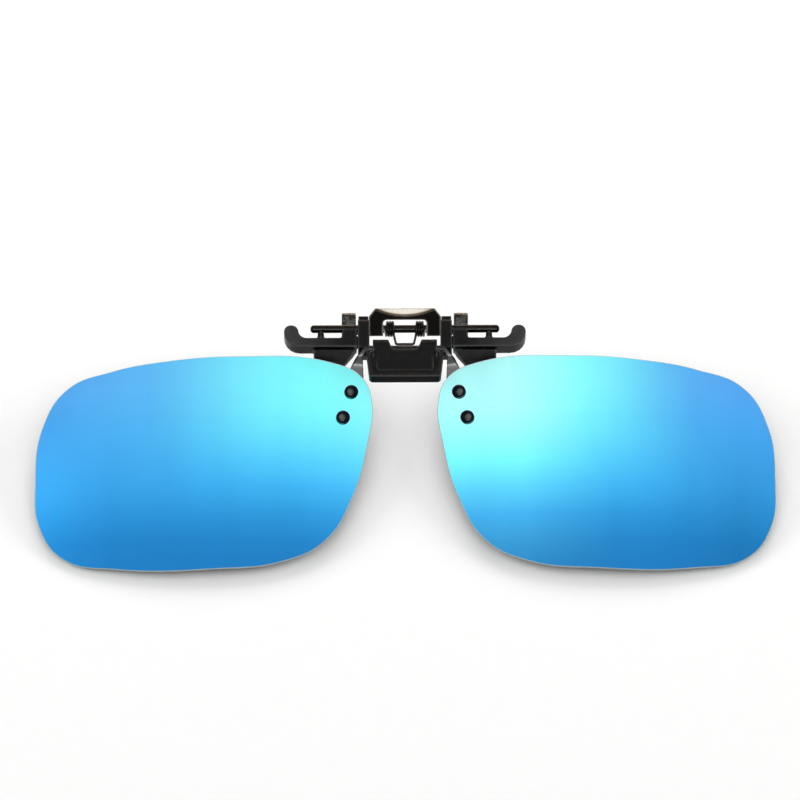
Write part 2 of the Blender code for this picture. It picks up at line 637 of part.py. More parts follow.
def make_claw(side, word, mats):
    claw = wire(f"rear_claw_{word}", claw_route(side), CLAW_WIRE, mats["steel"], smooth_spline=True)
    route = claw_route(side, SLEEVE_START)
    tip = (route[-1][0] + SLEEVE_TIP[0] * side, route[-1][1] + SLEEVE_TIP[1], route[-1][2])
    sleeve = wire(f"claw_sleeve_{word}", route + [tip], SLEEVE_RADIUS, mats["rubber"], smooth_spline=True)
    soften(sleeve, 0.4, 1)
    clearance = wire("claw_clearance", claw_route(side), CLAW_WIRE + PIN_GAP, cutter=True, smooth_spline=True)
    combine(sleeve, clearance)
    ends = sorted(x * side for x in BLOCK_X)
    block = slab(f"claw_block_{word}", rounded(BLOCK_PROFILE), *ends, mats["gunmetal"], from_flip_axis(PROFILE))
    soften(block, BLOCK_SOFT, 3)
    combine(block, clearance)
    return claw, sleeve, block


def make_pin(mats):
    pin = rod("clamp_pin", PIN_RADIUS, -PIN_HALF, PIN_HALF, PIN_Y, PIN_Z, mats["gunmetal"])
    soften(pin, 0.5, 3)
    return pin


def make_spring(mats):
    """One wire: leg, coil, loop into the scoop's notch, coil, leg."""
    steps = 10
    coil = []
    for k in range(COIL_TURNS * steps + 1):
        angle = COIL_LEAVE - 2 * math.pi * k / steps
        x = COIL_X[0] + (COIL_X[1] - COIL_X[0]) * k / (COIL_TURNS * steps)
        coil.append((x, PIN_Y + COIL_RADIUS * math.cos(angle), PIN_Z + COIL_RADIUS * math.sin(angle)))
    half = LOOP + coil + SPRING_LEG
    points = [(-x, y, z) for x, y, z in half[::-1]] + half
    return wire("torsion_spring", points, SPRING_WIRE, mats["steel"])


# ---------------------------------------------------------------- assembly

def build():
    start_scene()
    mats = make_materials()
    clamp = axis_empty("clamp_axis", (0.0, FLIP_Y + PIN_Y, FLIP_Z + PIN_Z))
    flip = axis_empty("flip_axis", FLIP_AXIS, LENS_TILT, clamp)
    make_thumb_plate(mats)
    make_pin(mats)
    make_spring(mats)
    hang(clamp, make_scoop(mats), make_bridge(mats))
    hang(flip, make_axle(mats))
    for side, word in ((1, "right"), (-1, "left")):
        make_claw(side, word, mats)
        hang(clamp, make_arm(side, word, mats), make_pad(side, word, mats), make_bush(side, word, mats))
        lens = make_lens(side, word, mats)
        leg = make_leg(side, word, mats)
        hang(flip, lens, leg, *make_fasteners(side, word, lens, leg, mats))


build()
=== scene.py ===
"""Clip-on flip-up sunglasses: the detailed pieces, materials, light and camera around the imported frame.

Lengths are in millimetres and MM turns them into metres where a mesh is made. Outlines in a clip piece's own
plane give y and z from the flip axis; outlines on a lens give x across and s down from that axis.
"""
import json
import math

import bmesh
import bpy
from mathutils import Matrix, Vector
from mathutils.geometry import delaunay_2d_cdt

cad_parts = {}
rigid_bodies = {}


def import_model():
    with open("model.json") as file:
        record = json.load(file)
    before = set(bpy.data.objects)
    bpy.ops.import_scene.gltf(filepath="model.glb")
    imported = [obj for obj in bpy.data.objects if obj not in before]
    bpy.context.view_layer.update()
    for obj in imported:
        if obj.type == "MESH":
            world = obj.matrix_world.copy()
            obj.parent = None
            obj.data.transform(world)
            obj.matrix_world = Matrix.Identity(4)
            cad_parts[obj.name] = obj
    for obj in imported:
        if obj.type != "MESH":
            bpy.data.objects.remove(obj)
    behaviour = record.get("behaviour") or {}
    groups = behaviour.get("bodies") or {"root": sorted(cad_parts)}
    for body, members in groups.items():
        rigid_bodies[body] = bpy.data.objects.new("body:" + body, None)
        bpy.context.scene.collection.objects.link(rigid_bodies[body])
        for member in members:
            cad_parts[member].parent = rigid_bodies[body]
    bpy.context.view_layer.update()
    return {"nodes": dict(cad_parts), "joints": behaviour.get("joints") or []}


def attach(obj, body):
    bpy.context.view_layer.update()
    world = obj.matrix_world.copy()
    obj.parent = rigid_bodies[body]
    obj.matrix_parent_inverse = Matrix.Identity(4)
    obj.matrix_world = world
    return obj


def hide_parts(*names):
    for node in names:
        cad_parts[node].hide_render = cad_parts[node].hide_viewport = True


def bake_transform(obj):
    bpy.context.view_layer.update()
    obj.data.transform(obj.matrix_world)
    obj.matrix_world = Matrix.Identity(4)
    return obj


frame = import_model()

MM = 0.001
SIDES = ((1, "right"), (-1, "left"))
ACROSS = Matrix.Rotation(math.pi / 2, 4, "Y")        # turns a lathe's axis along X
JOINTS = {joint["name"]: joint for joint in frame["joints"]}
FLIP_AXIS = Vector(JOINTS["flip"]["pos_m"]) / MM
CLAMP_AXIS = Vector(JOINTS["clamp"]["pos_m"]) / MM

# Lens sheet, in its own plane through the flip axis.
LENS_TILT = math.radians(11.88)
LENS_THICK = 1.1
LENS_RADIUS = 150.0
LENS_CENTRE = (36.3, 21.5)
LENS_CROWN = 4.34
LENS_OUTLINE = [
    (13.3, 2.75), (29.9, 1.9), (44.3, 3.0), (52.6, 4.55), (60.8, 7.65), (65.3, 14.7), (66.6, 24.8),
    (65.7, 33.5), (61.4, 39.1), (52.2, 41.1), (34.2, 41.2), (21.8, 39.7), (14.4, 35.9), (9.5, 27.9),
    (6.7, 17.8), (5.9, 10.0), (7.7, 5.4)]
LENS_BEVEL = 0.16
LENS_SPACING = 1.3               # between the mesh's points

# Legs, rivets and washers.
GAP = 0.3
PIN_GAP = 0.15
LEG_THICK = 0.7
LEG_OUTLINE = [
    (5.95, -0.4, 0.2), (7.3, -0.4, 0.8), (8.3, 1.0, 0.6), (9.85, 3.4, 1.0), (13.1, 12.0, 1.5),
    (12.9, 15.2, 1.4), (10.4, 15.2, 1.6), (8.2, 10.0, 2.0), (7.45, 5.2, 1.0), (7.6, 1.4, 0.6),
    (7.0, 0.4, 0.5), (5.95, 0.4, 0.2)]
LEG_BEND = (0.8, 3.4)
LEG_BEVEL = 0.13
LEG_SPACING = 0.35
TONGUE_X = 6.0
TONGUE_PROFILE = [(0.0, -0.7), (0.42, -0.7), (0.5, -0.62), (0.5, 0.62), (0.42, 0.7), (0.0, 0.7)]
RIVETS = {"upper": (9.7, 8.3), "lower": (11.2, 13.16)}
RIVET_HEAD = 1.25
RIVET_DOME = 0.75
RIVET_BRIM = 0.10
DOME_FULLNESS = 0.85             # power of the dome's cosine: a half-ellipse at 1, fuller below it
TAIL_PROFILE = [(0.83, 0.0), (0.88, -0.08), (0.84, -0.22), (0.70, -0.33), (0.40, -0.35), (0.22, -0.28),
                (0.0, -0.24)]
SHANK_RADIUS = 0.6
WASHER_RADIUS = 1.1
WASHER_THICK = 0.3
WASHER_EASE = 0.06
CREASES = {"tongue": 40.0, "rivet": 45.0, "washer": 35.0, "hinge": 35.0}     # sharpest turns shaded smooth

# How a sheet is meshed: the share of the spacing kept clear inside its outline, and the rows of its
# rounded edge in degrees round from the front.
EDGE_CLEARANCE = 0.45
WALL_TURNS = (22.5, 67.5, 112.5, 157.5)
MOULDED_KEEP = 0.35              # share of the faces kept where a CAD solid has its edges eased

# Clamp pin, spring and claws.
PIN_RADIUS = 0.72
PIN_HALF = 17.1
PIN_DOME = 0.75                  # height of each end, as a share of the radius
SPRING_WIRE = 0.23
COIL_RADIUS = 1.25
COIL_X = (1.95, 3.4)
COIL_TURNS = 3
COIL_STEPS = 28                  # points in a turn
COIL_LEAVE = math.radians(219.0)
LOOP = (0.2, 1.55)
# Half the loop, from its middle out to the coil, and the leg from the coil up the thumb plate.
LOOP_RISE = [(0.0, 0.0, 0.0), (1.2, 0.0, 0.0), (1.52, 0.12, -0.12), (1.66, 0.7, -0.8)]
SPRING_LEG = [(3.55, 4.3, -1.6), (3.9, 3.9, 0.5), (4.6, 3.55, 4.6)]
CLAW_WIRE = 0.5
CLAW_ROUTE = [(6.4, 6.2, 1.9), (8.9, 6.2, 1.8), (10.1, 5.6, 1.35), (10.8, 3.8, 1.2), (12.5, 1.4, 1.2),
              (13.9, -1.6, 1.2), (14.4, -6.6, 1.2)]


# ---------------------------------------------------------------- finishes

# Painted highlights along the outer edges of the plastic and the plating.
EDGE_REACH = 0.42                # how far from an edge the painted highlight reaches
EDGE_POINTINESS = (0.496, 0.502)         # between these it comes in, so that inner corners have none
EDGE_TURN = (0.955, 0.995)       # cosine of the turn, from highlighted to untouched
EDGE_FRONT = (-0.5, 0.1)         # the normal's Y, from all of the painted highlight to the back's share
EDGE_BACK_SHARE = 0.15

# How grey the plastic's upward faces are painted, from and to, as a painted sheen: dim on the scoop and
# bridge, brighter on the arms, whose sheen fades in between these distances from the middle, as painted shade
# near the pin.
DIM_TOP_SHEEN = ((0.005, 0.005, 0.005), (0.012, 0.012, 0.012))
BRIGHT_TOP_SHEEN = ((0.026, 0.027, 0.027), (0.056, 0.057, 0.056))
SHEEN_FROM, SHEEN_TO = 11.0, 22.5
TOP_FACING = (0.93, 1.0)         # upward parts of the normal between which a face counts as a top

# Thumb plate, from the flip axis: how far up the lean its flange starts, at the middle and towards the ends.
LEAN = math.radians(25.0)
ARC_MIDDLE = 5.88
ARC_ENDS = 7.08
ARC_HALF = 5.4
# Its plating with the painted reflection on the flange, from 1 mm below the arc, at 0, to 1 mm above it, at
# 1.
PLATE_PAINTED_GLEAM = [(0.0, (0.008, 0.0075, 0.007)), (0.46, (0.010, 0.009, 0.008)), (0.55, (0.040, 0.028, 0.018)),
               (0.62, (0.17, 0.11, 0.065)), (0.68, (0.60, 0.52, 0.41)), (0.74, (0.86, 0.80, 0.70)),
               (1.0, (0.90, 0.85, 0.76))]

# The strip's colour, down from the flip axis: darker at the hinge, bare satin from below the crank.
HINGE_DARKENING = [(0.0, 0.1), (0.10, 0.3), (0.26, 0.85), (0.40, 1.0), (1.0, 1.0)]
HINGE_DARKENING_TO = 7.0

RIVET_HIGHLIGHT_AIM = (0.0, -0.22, 0.975)        # the side of the dome that carries a painted highlight
HIGHLIGHT_FACING = (0.955, 0.998)

# Mirror coating with a painted reflection of the overhead light: colours down the lens at its outer end, at
# the thick of the painted cyan, and in the palest patch of painted glare.
DOWN_OUTER = [(0.0, (0.105, 0.40, 0.87)), (0.24, (0.095, 0.39, 0.88)), (0.44, (0.062, 0.375, 0.84)),
              (0.67, (0.0385, 0.33, 0.745)), (0.79, (0.026, 0.275, 0.65)), (0.90, (0.017, 0.215, 0.55)),
              (1.0, (0.017, 0.20, 0.52))]
DOWN_PAINTED_CYAN = [(0.0, (0.225, 0.97, 1.0)), (0.24, (0.222, 0.98, 1.0)), (0.34, (0.20, 0.94, 1.0)),
             (0.44, (0.155, 0.82, 1.0)), (0.56, (0.093, 0.62, 0.98)), (0.67, (0.053, 0.46, 0.89)),
             (0.79, (0.028, 0.315, 0.70)), (0.91, (0.019, 0.225, 0.56)), (1.0, (0.017, 0.20, 0.52))]
DOWN_PAINTED_GLARE = [(0.0, (0.47, 1.0, 1.0)), (0.24, (0.45, 1.0, 1.0)), (0.34, (0.43, 1.0, 1.0)),
             (0.44, (0.335, 1.0, 1.0)), (0.56, (0.20, 0.98, 1.0)), (0.67, (0.116, 0.69, 1.0)),
             (0.79, (0.061, 0.44, 0.86)), (0.91, (0.042, 0.32, 0.65)), (1.0, (0.03, 0.25, 0.55))]
PAINTED_CYAN_ACROSS = [(-66.0, 0.0), (-46.0, 0.14), (-38.5, 0.33), (-31.0, 0.63), (-24.0, 0.9), (-17.0, 1.0),
               (31.0, 1.0), (39.0, 0.65), (46.0, 0.26), (52.0, 0.07), (60.0, 0.0)]
PAINTED_GLARE_ACROSS = [(-16.0, 0.0), (-7.0, 0.2), (7.0, 0.93), (15.0, 1.0), (19.0, 0.95), (24.5, 0.63), (32.0, 0.1),
               (39.0, 0.0)]
COATING_WIDTH = 68.0
COATING_TOP = 2.0
COATING_BOTTOM = -40.0
# From and to these parts of the way down, places across count for less, down to this share.
COATING_SPREAD = (0.38, 0.72, 0.86)
# How much brighter the painted reflection is on the lower part, by place across, and a limit above all of
# these.
PAINTED_LOWER_LIFT = [(-66.0, 1.34), (-63.0, 1.26), (-58.0, 1.12), (-52.0, 1.02), (-45.0, 1.0), (45.0, 1.0),
             (54.0, 0.94), (60.0, 0.87), (66.0, 0.95)]
PAINTED_LIFT_LIMIT = 1.4


# ---------------------------------------------------------------- shader building

class Shader:
    """A node material with one Principled BSDF, and short calls for the nodes that feed it."""

    def __init__(self, name, roughness=0.5, metallic=0.0, **constants):
        self.material = bpy.data.materials.new(name)
        self.material.use_nodes = True
        self.tree = self.material.node_tree
        self.principled = self.tree.nodes["Principled BSDF"]
        self.principled.inputs["Roughness"].default_value = roughness
        self.principled.inputs["Metallic"].default_value = metallic
        for key, value in constants.items():
            self.principled.inputs[key.replace("_", " ")].default_value = value

    def node(self, kind, inputs=(), **settings):
        made = self.tree.nodes.new(f"ShaderNode{kind}")
        for key, value in settings.items():
            setattr(made, key, value)
        for key, value in dict(inputs).items():
            if isinstance(value, bpy.types.NodeSocket):
                self.tree.links.new(value, made.inputs[key])
            else:
                made.inputs[key].default_value = value
        return made

    def place(self):
        return self.node("TexCoord").outputs["Object"]

    def noise(self, size_mm, detail=4.0, roughness=0.55, stretch=(1.0, 1.0, 1.0)):
        """Noise whose features are about size_mm across, longer where stretch is above 1."""
        scale = self.node("Mapping", {"Vector": self.place(), "Scale": [1.0 / s for s in stretch]})
        made = self.node("TexNoise", {"Vector": scale.outputs[0], "Scale": 1.0 / (size_mm * MM),
                                      "Detail": detail, "Roughness": roughness})
        return made.outputs["Fac"]

    def between(self, factor, low, high, from_low=0.0, from_high=1.0):
        made = self.node("MapRange", {"Value": factor, "From Min": from_low, "From Max": from_high,
                                      "To Min": low, "To Max": high})
        return made.outputs[0]

    def mix(self, factor, first, second, blend="MIX"):
        made = self.node("Mix", data_type="RGBA", blend_type=blend)
        for index, value in ((0, factor), (6, first), (7, second)):
            if isinstance(value, bpy.types.NodeSocket):
                self.tree.links.new(value, made.inputs[index])
            elif index:
                made.inputs[index].default_value = (*value, 1.0)
            else:
                made.inputs[index].default_value = value
        return made.outputs[2]

    def ramp(self, factor, stops):
        """A colour ramp through (position, grey or colour) stops."""
        made = self.node("ValToRGB", {"Fac": factor})
        points = made.color_ramp.elements
        while len(points) < len(stops):
            points.new(0.5)
        for point, (position, colour) in zip(points, stops):
            point.position = position
            point.color = (*colour, 1.0) if isinstance(colour, tuple) else (colour, colour, colour, 1.0)
        return made.outputs["Color"]

    def edges(self):
        """How much painted highlight a spot gets: 0 on faces and in corners, up to 1 along outer edges that
        face the front.
        """
        eased = self.node("Bevel", {"Radius": EDGE_REACH * MM}, samples=6).outputs[0]
        geometry = self.node("NewGeometry").outputs
        turn = self.node("VectorMath", {0: eased, 1: geometry["Normal"]}, operation="DOT_PRODUCT")
        outer = self.between(geometry["Pointiness"], 0.0, 1.0, *EDGE_POINTINESS)
        turned = self.between(turn.outputs["Value"], 1.0, 0.0, *EDGE_TURN)
        painted_light = self.node("Math", {0: turned, 1: outer}, operation="MULTIPLY")
        facing = self.node("SeparateXYZ", {0: geometry["Normal"]}).outputs["Y"]
        share = self.between(facing, 1.0, EDGE_BACK_SHARE, *EDGE_FRONT)
        return self.node("Math", {0: painted_light.outputs[0], 1: share}, operation="MULTIPLY").outputs[0]

    def feed(self, socket, value):
        self.tree.links.new(value, self.principled.inputs[socket])

    def bump(self, *layers):
        """Bump layers as (height, strength, depth in mm), each resting on the one before."""
        normal = None
        for height, strength, depth in layers:
            inputs = {"Height": height, "Strength": strength, "Distance": depth * MM}
            if normal:
                inputs["Normal"] = normal
            normal = self.node("Bump", inputs).outputs["Normal"]
        self.feed("Normal", normal)


def plastic_material(name, end_sheen):
    """Black moulded plastic with fine spark-eroded grain, a painted highlight along its front-facing edges
    and a painted sheen on its tops.
    """
    shader = Shader(name, Specular_IOR_Level=0.09)
    grain = shader.noise(0.11, 3.0, 0.6)
    cloud = shader.noise(1.6, 5.0)
    colour = shader.mix(cloud, (0.0015, 0.0015, 0.002), (0.004, 0.004, 0.0045))
    # Painted sheen on upward faces; on the arms it is dimmer towards the middle, as painted shade under the
    # pin.
    upward = shader.node("SeparateXYZ", {0: shader.node("NewGeometry").outputs["Normal"]}).outputs["Z"]
    across = shader.node("SeparateXYZ", {0: shader.place()}).outputs["X"]
    reach = shader.node("Math", {0: across}, operation="ABSOLUTE").outputs[0]
    top_sheen = shader.mix(shader.between(reach, 0.0, 1.0, SHEEN_FROM * MM, SHEEN_TO * MM),
                         shader.mix(cloud, *DIM_TOP_SHEEN), shader.mix(cloud, *end_sheen))
    colour = shader.mix(shader.between(upward, 0.0, 1.0, *TOP_FACING), colour, top_sheen)
    # Painted highlight along the outer edges that face the front.
    shader.feed("Base Color", shader.mix(shader.edges(), colour, (0.15, 0.16, 0.16)))
    shader.feed("Roughness", shader.between(cloud, 0.28, 0.42, 0.3, 0.7))
    shader.bump((grain, 0.25, 0.02), (cloud, 0.12, 0.03))
    return shader.material


def gunmetal_material():
    """Dark polished plating, faintly mottled where it has been tumbled."""
    shader = Shader("polished_gunmetal", metallic=1.0)
    rolled = shader.noise(0.06, 3.0, 0.6, stretch=(14.0, 1.0, 1.0))
    mottle = shader.noise(0.45, 5.0, 0.7)
    shader.feed("Base Color", shader.mix(shader.between(mottle, 0.0, 1.0, 0.40, 0.62), (0.014, 0.013, 0.012),
                                         (0.034, 0.032, 0.029)))
    shader.feed("Roughness", shader.between(rolled, 0.14, 0.28, 0.3, 0.7))
    shader.bump((rolled, 0.12, 0.01), (mottle, 0.10, 0.02))
    return shader.material


def claw_block_material():
    """Cast root of the rear claw: dark plating over a hammered, mottled skin, with painted highlights along
    its edges.
    """
    shader = Shader("tumbled_plating", metallic=1.0)
    mottle = shader.noise(0.5, 6.0, 0.75)
    spots = shader.between(mottle, 0.0, 1.0, 0.40, 0.60)
    plating = shader.mix(spots, (0.036, 0.036, 0.033), (0.21, 0.21, 0.20))
    # Painted highlight along the outer edges that face the front.
    shader.feed("Base Color", shader.mix(shader.edges(), plating, (0.16, 0.16, 0.14)))
    shader.feed("Roughness", shader.between(mottle, 0.20, 0.34, 0.3, 0.7))
    shader.bump((mottle, 0.35, 0.05))
    return shader.material


def thumb_plate_material():
    """Near-black plating on the face, a painted bright reflection on the flange, straw-brown between them,
    and painted highlights on its edges.
    """
    shader = Shader("thumb_plate_painted_gleam", metallic=1.0)
    place = shader.node("SeparateXYZ", {"Vector": shader.place()})

    def calc(operation, *values):
        return shader.node("Math", dict(enumerate(values)), operation=operation).outputs[0]

    up = calc("ADD", calc("MULTIPLY", calc("SUBTRACT", place.outputs["Y"], FLIP_AXIS.y * MM), math.cos(LEAN)),
              calc("MULTIPLY", calc("SUBTRACT", place.outputs["Z"], FLIP_AXIS.z * MM), math.sin(LEAN)))
    bow = (ARC_ENDS - ARC_MIDDLE) / (ARC_HALF ** 2 * MM)
    arc = calc("ADD", calc("MULTIPLY", calc("MULTIPLY", place.outputs["X"], place.outputs["X"]), bow),
               ARC_MIDDLE * MM)
    over = calc("DIVIDE", calc("SUBTRACT", up, arc), MM)
    mottle = shader.noise(0.5, 4.0)
    rolled = shader.noise(0.06, 3.0, 0.6, stretch=(14.0, 1.0, 1.0))
    # Painted reflection: the flange's cream band stands for the overhead light mirrored in it.
    gleam = shader.ramp(shader.between(over, 0.0, 1.0, -1.0, 1.0), PLATE_PAINTED_GLEAM)
    painted_light = shader.mix(mottle, gleam, (0.8, 0.8, 0.8), "MULTIPLY")
    shader.feed("Base Color", shader.mix(shader.edges(), painted_light, (0.30, 0.27, 0.23)))
    shader.feed("Roughness", shader.between(rolled, 0.16, 0.28, 0.3, 0.7))
    shader.bump((rolled, 0.10, 0.01))
    return shader.material


def leg_material():
    """Satin grey stamped strip, brushed along its length and darker towards the hinge."""
    shader = Shader("satin_grey_strip", metallic=1.0)
    brushed = shader.noise(0.05, 3.0, 0.6, stretch=(1.0, 16.0, 16.0))
    cloud = shader.noise(1.5, 4.0)
    place = shader.node("SeparateXYZ", {"Vector": shader.place()})
    down = shader.between(place.outputs["Y"], 0.0, 1.0, FLIP_AXIS.y * MM, (FLIP_AXIS.y - HINGE_DARKENING_TO) * MM)
    bare = shader.mix(cloud, (0.18, 0.185, 0.185), (0.27, 0.275, 0.27))
    shader.feed("Base Color", shader.mix(shader.ramp(down, HINGE_DARKENING), (0.022, 0.022, 0.022), bare))
    shader.feed("Roughness", shader.between(brushed, 0.28, 0.46, 0.3, 0.7))
    shader.bump((brushed, 0.15, 0.01))
    return shader.material


def leg_edge_material():
    """The strip's sheared edge, blacker than its faces."""
    shader = Shader("sheared_strip_edge", metallic=1.0)
    torn = shader.noise(0.12, 4.0)
    shader.feed("Base Color", shader.mix(torn, (0.012, 0.012, 0.012), (0.05, 0.05, 0.048)))
    shader.feed("Roughness", shader.between(torn, 0.3, 0.5, 0.3, 0.7))
    shader.bump((torn, 0.2, 0.02))
    return shader.material


def rivet_material():
    """Blue-black lacquer, with a painted highlight on the crown of the dome."""
    shader = Shader("black_rivet_lacquer", Specular_IOR_Level=0.2)
    cloud = shader.noise(0.35, 4.0)
    normal = shader.node("NewGeometry").outputs["Normal"]
    highlight_side = shader.node("VectorMath", {0: normal, 1: RIVET_HIGHLIGHT_AIM}, operation="DOT_PRODUCT").outputs["Value"]
    lacquer = shader.mix(cloud, (0.001, 0.0015, 0.005), (0.003, 0.004, 0.012))
    # Painted highlight where the dome faces the overhead light.
    painted_light = shader.between(highlight_side, 0.0, 1.0, *HIGHLIGHT_FACING)
    shader.feed("Base Color", shader.mix(painted_light, lacquer, (0.09, 0.095, 0.08)))
    shader.feed("Roughness", shader.between(cloud, 0.10, 0.22, 0.3, 0.7))
    shader.bump((cloud, 0.25, 0.03))
    return shader.material


def steel_material():
    """Drawn steel wire, dark from its heat treatment."""
    shader = Shader("dark_spring_wire", metallic=1.0)
    drawn = shader.noise(0.08, 3.0)
    shader.feed("Base Color", shader.mix(drawn, (0.018, 0.017, 0.016), (0.050, 0.048, 0.045)))
    shader.feed("Roughness", shader.between(drawn, 0.2, 0.38, 0.3, 0.7))
    return shader.material


def rubber_material():
    """Soft black rubber, dull and a little dusty."""
    shader = Shader("soft_black_rubber", Specular_IOR_Level=0.35)
    dust = shader.noise(0.3, 5.0, 0.65)
    shader.feed("Base Color", shader.mix(dust, (0.012, 0.012, 0.012), (0.028, 0.027, 0.026)))
    shader.feed("Roughness", shader.between(dust, 0.62, 0.85, 0.3, 0.7))
    shader.bump((dust, 0.3, 0.03))
    return shader.material


def nylon_material():
    """Undyed nylon, milky white."""
    shader = Shader("natural_nylon", Specular_IOR_Level=0.45, Subsurface_Weight=0.1,
                    Subsurface_Scale=0.5 * MM)
    cloud = shader.noise(0.6, 4.0)
    shader.feed("Base Color", shader.mix(cloud, (0.50, 0.49, 0.45), (0.62, 0.61, 0.57)))
    shader.feed("Roughness", shader.between(cloud, 0.32, 0.5, 0.3, 0.7))
    shader.bump((cloud, 0.1, 0.02))
    return shader.material


def coating_material():
    """Blue mirror coating with a painted reflection of the overhead light, palest towards the upper inner
    corners.
    """
    shader = Shader("blue_mirror_painted_reflection", metallic=1.0)
    place = shader.node("SeparateXYZ", {"Vector": shader.place()})
    down = shader.between(place.outputs["Y"], 0.0, 1.0, (FLIP_AXIS.y + COATING_TOP) * MM,
                          (FLIP_AXIS.y + COATING_BOTTOM) * MM)
    spread = shader.between(down, 1.0, COATING_SPREAD[2], *COATING_SPREAD[:2])
    squeezed = shader.node("Math", {0: place.outputs["X"], 1: spread}, operation="MULTIPLY").outputs[0]

    def across(x, stops):
        position = shader.between(x, 0.0, 1.0, -COATING_WIDTH * MM, COATING_WIDTH * MM)
        places = [((at + COATING_WIDTH) / (2 * COATING_WIDTH), value) for at, value in stops]
        return shader.ramp(position, places)

    # Painted reflection: the cyan and the pale glare stand for the overhead light mirrored in the lens.
    outer, cyan = shader.ramp(down, DOWN_OUTER), shader.ramp(down, DOWN_PAINTED_CYAN)
    body = shader.mix(across(squeezed, PAINTED_CYAN_ACROSS), outer, cyan)
    body = shader.mix(across(squeezed, PAINTED_GLARE_ACROSS), body, shader.ramp(down, DOWN_PAINTED_GLARE))
    lift = across(place.outputs["X"], [(at, value / PAINTED_LIFT_LIMIT) for at, value in PAINTED_LOWER_LIFT])
    lift = shader.mix(1.0, lift, (PAINTED_LIFT_LIMIT, PAINTED_LIFT_LIMIT, PAINTED_LIFT_LIMIT), "MULTIPLY")
    low = shader.between(down, 0.0, 1.0, *COATING_SPREAD[:2])
    body = shader.mix(low, body, shader.mix(1.0, body, lift, "MULTIPLY"))
    streaks = shader.noise(9.0, 2.0, 0.5, stretch=(1.0, 6.0, 6.0))
    shader.feed("Base Color", shader.mix(shader.between(streaks, 0.0, 0.05, 0.4, 0.7), body, (0.0, 0.1, 0.2)))
    shader.feed("Roughness", shader.between(shader.noise(4.0, 5.0), 0.10, 0.16, 0.3, 0.7))
    return shader.material


def lens_back_material():
    """Smoke-grey polarised polycarbonate, seen from behind the coating."""
    shader = Shader("smoke_polycarbonate", Specular_IOR_Level=0.6)
    cloud = shader.noise(12.0, 3.0)
    shader.feed("Base Color", shader.mix(cloud, (0.016, 0.017, 0.019), (0.026, 0.027, 0.030)))
    shader.feed("Roughness", shader.between(shader.noise(3.0, 4.0), 0.06, 0.12, 0.3, 0.7))
    return shader.material


def lens_rim_material():
    """The ground edge, frosted to a pale blue-grey."""
    shader = Shader("lens_cut_edge", Specular_IOR_Level=0.5)
    ticks = shader.noise(0.25, 3.0)
    shader.feed("Base Color", shader.mix(ticks, (0.33, 0.41, 0.43), (0.46, 0.55, 0.57)))
    shader.feed("Roughness", shader.between(ticks, 0.25, 0.45, 0.3, 0.7))
    shader.bump((ticks, 0.2, 0.02))
    return shader.material


def make_materials():
    return {
        "coating": coating_material(),
        "lens_back": lens_back_material(),
        "lens_rim": lens_rim_material(),
        "plastic": plastic_material("black_moulded_plastic", DIM_TOP_SHEEN),
        "arm_plastic": plastic_material("sheened_moulded_plastic", BRIGHT_TOP_SHEEN),
        "gunmetal": gunmetal_material(),
        "thumb_plate": thumb_plate_material(),
        "claw_block": claw_block_material(),
        "leg": leg_material(),
        "leg_edge": leg_edge_material(),
        "rivet": rivet_material(),
        "steel": steel_material(),
        "rubber": rubber_material(),
        "nylon": nylon_material(),
    }


# ---------------------------------------------------------------- mesh building

def finish_piece(name, mesh, mats, body, nodes, smooth=True):
    """A mesh in millimetres becomes a piece that rides on a body and stands for its CAD nodes."""
    mesh.transform(Matrix.Scale(MM, 4))
    mesh.name = name
    for mat in mats:
        mesh.materials.append(mat)
    if smooth:
        mesh.shade_smooth()
    obj = bpy.data.objects.new(name, mesh)
    bpy.context.scene.collection.objects.link(obj)
    if body:
        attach(obj, body)
    if nodes:
        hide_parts(*nodes)
    return obj


def mesh_from(shape):
    mesh = bpy.data.meshes.new("piece")
    shape.to_mesh(mesh)
    shape.free()
    return mesh


def rounded(corners, steps=10):
    """A closed outline through corners (x, y, radius), with an arc of that radius at each."""
    points = []
    for i, (x, y, radius) in enumerate(corners):
        corner = Vector((x, y))
        before = (Vector(corners[i - 1][:2]) - corner).normalized()
        after = (Vector(corners[(i + 1) % len(corners)][:2]) - corner).normalized()
        half = before.angle(after) / 2
        middle = corner + (before + after).normalized() * (radius / math.sin(half))
        first = corner + before * (radius / math.tan(half)) - middle
        last = corner + after * (radius / math.tan(half)) - middle
        sweep = first.angle_signed(last)
        points += [middle + Matrix.Rotation(-sweep * k / steps, 2) @ first for k in range(steps + 1)]
    return points


def spaced(points, step):
    """A closed outline's points again, with no gap longer than step."""
    result = []
    for first, second in zip(points, points[1:] + points[:1]):
        count = max(1, math.ceil((second - first).length / step))
        result += [first.lerp(second, k / count) for k in range(count)]
    return result


def smooth_outline(anchors, resolution=16):
    """The closed curve with automatic handles through the anchors, as ordered points."""
    curve = bpy.data.curves.new("outline", "CURVE")
    curve.dimensions = "2D"
    curve.fill_mode = "NONE"
    spline = curve.splines.new("BEZIER")
    spline.bezier_points.add(len(anchors) - 1)
    for point, (x, y) in zip(spline.bezier_points, anchors):
        point.co = (x, y, 0.0)
        point.handle_left_type = point.handle_right_type = "AUTO"
    spline.resolution_u = resolution
    spline.use_cyclic_u = True
    helper = bpy.data.objects.new("outline", curve)
    bpy.context.scene.collection.objects.link(helper)
    bpy.context.view_layer.update()
    mesh = bpy.data.meshes.new_from_object(helper.evaluated_get(bpy.context.evaluated_depsgraph_get()))
    points = [vert.co.to_2d() for vert in mesh.vertices]
    bpy.data.objects.remove(helper)
    bpy.data.curves.remove(curve)
    bpy.data.meshes.remove(mesh)
    return points


